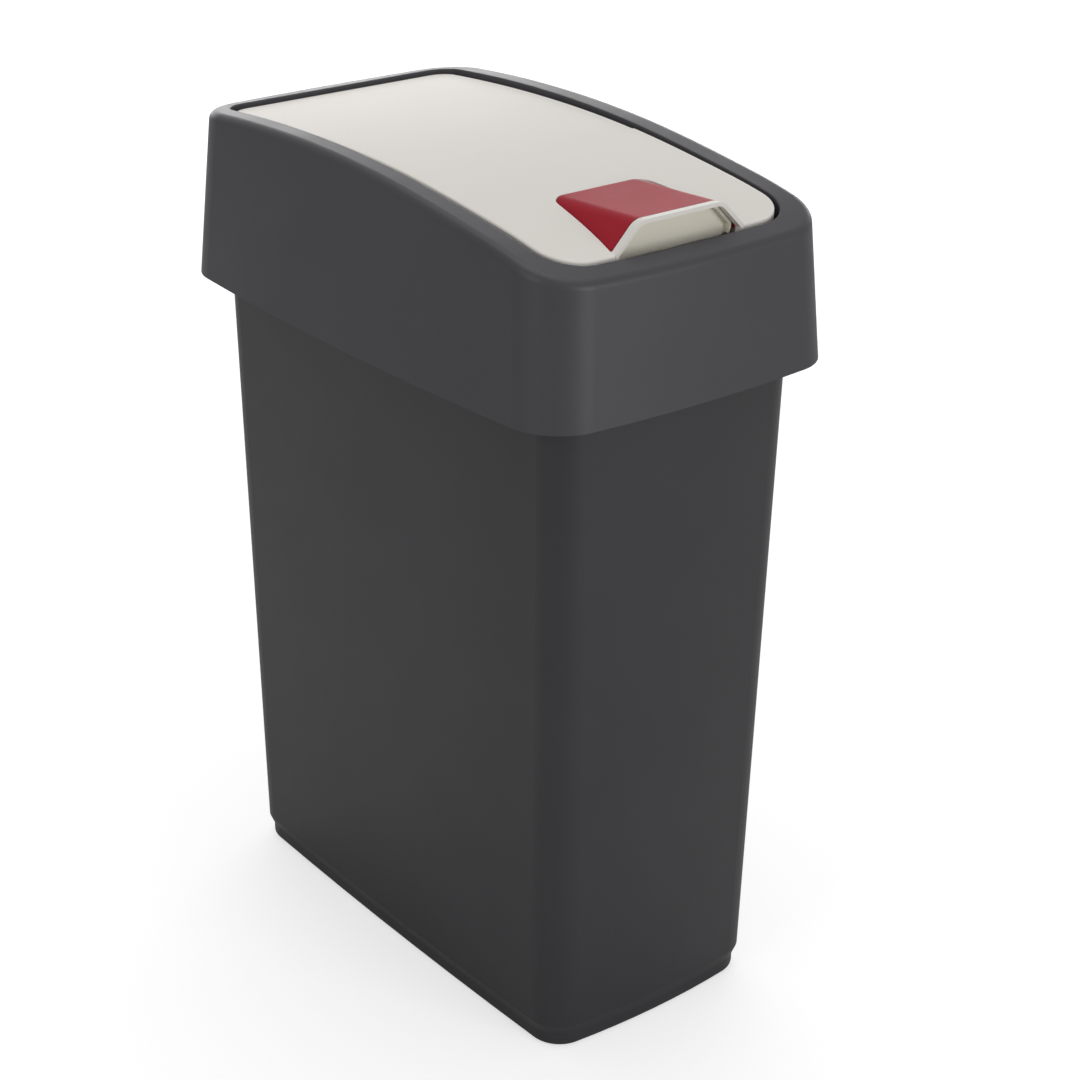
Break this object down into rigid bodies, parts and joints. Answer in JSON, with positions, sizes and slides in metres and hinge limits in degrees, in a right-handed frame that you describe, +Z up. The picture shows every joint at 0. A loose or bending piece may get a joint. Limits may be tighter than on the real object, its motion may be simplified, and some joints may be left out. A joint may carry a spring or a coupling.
{
  "type": "touch top waste bin",
  "caption": "Narrow tapered kitchen bin with a lift-off lid frame and a sprung flap that swings on side pins and is released by a touch pad with a finger grip",
  "frame": {"origin": "middle of the base, on the surface the bin stands on", "axes": "+Z up, front of the bin with the touch pad towards -Y, +X to the right seen from the front"},
  "size_m": [0.1592, 0.2654, 0.3682],
  "materials": {
    "tub_plastic": "dark grey satin polypropylene, smooth with a soft sheen",
    "frame_plastic": "dark grey polypropylene with a fine matte grain",
    "cream_plastic": "cream polypropylene, satin",
    "red_plastic": "deep red soft-touch plastic",
    "bush_plastic": "natural acetal",
    "latch_plastic": "natural acetal",
    "bumper_rubber": "soft black rubber",
    "screw_steel": "zinc plated",
    "pin_steel": "drawn steel",
    "spring_steel": "spring wire"
  },
  "bodies": {
    "bin": {"bin_body": "tub_plastic"},
    "lid_frame": {"lid_frame": "frame_plastic", "pivot_bush_left": "bush_plastic", "pivot_bush_right": "bush_plastic", "catch_block": "latch_plastic", "catch_screws": "screw_steel", "ledge_bumpers": "bumper_rubber"},
    "flap": {"flap_panel": "cream_plastic", "flap_carrier": "cream_plastic", "carrier_screws": "screw_steel", "hinge_pin_left": "pin_steel", "hinge_pin_right": "pin_steel", "torsion_spring_left": "spring_steel", "torsion_spring_right": "spring_steel", "latch_hook": "latch_plastic", "hook_screws": "screw_steel"},
    "button": {"touch_pad": "red_plastic", "button_core": "cream_plastic", "button_spring": "spring_steel", "stem_clip": "spring_steel"}
  },
  "joints": [
    {"name": "frame_lift", "type": "slide", "parent": "bin", "child": "lid_frame", "axis": [0, 0, 1], "range_m": [0, 0.12]},
    {"name": "flap_hinge", "type": "hinge", "parent": "lid_frame", "child": "flap", "pos_m": [0, -0.02, 0.352], "axis": [-1, 0, 0], "range_deg": [0, 75], "deforming": ["torsion_spring_left", "torsion_spring_right", "latch_hook"]},
    {"name": "button_press", "type": "slide", "parent": "flap", "child": "button", "axis": [0, 0, -1], "range_m": [0, 0.002], "stiffness_N_per_m": 300, "springref_m": -0.004, "deforming": ["button_spring", "latch_hook"]}
  ]
}
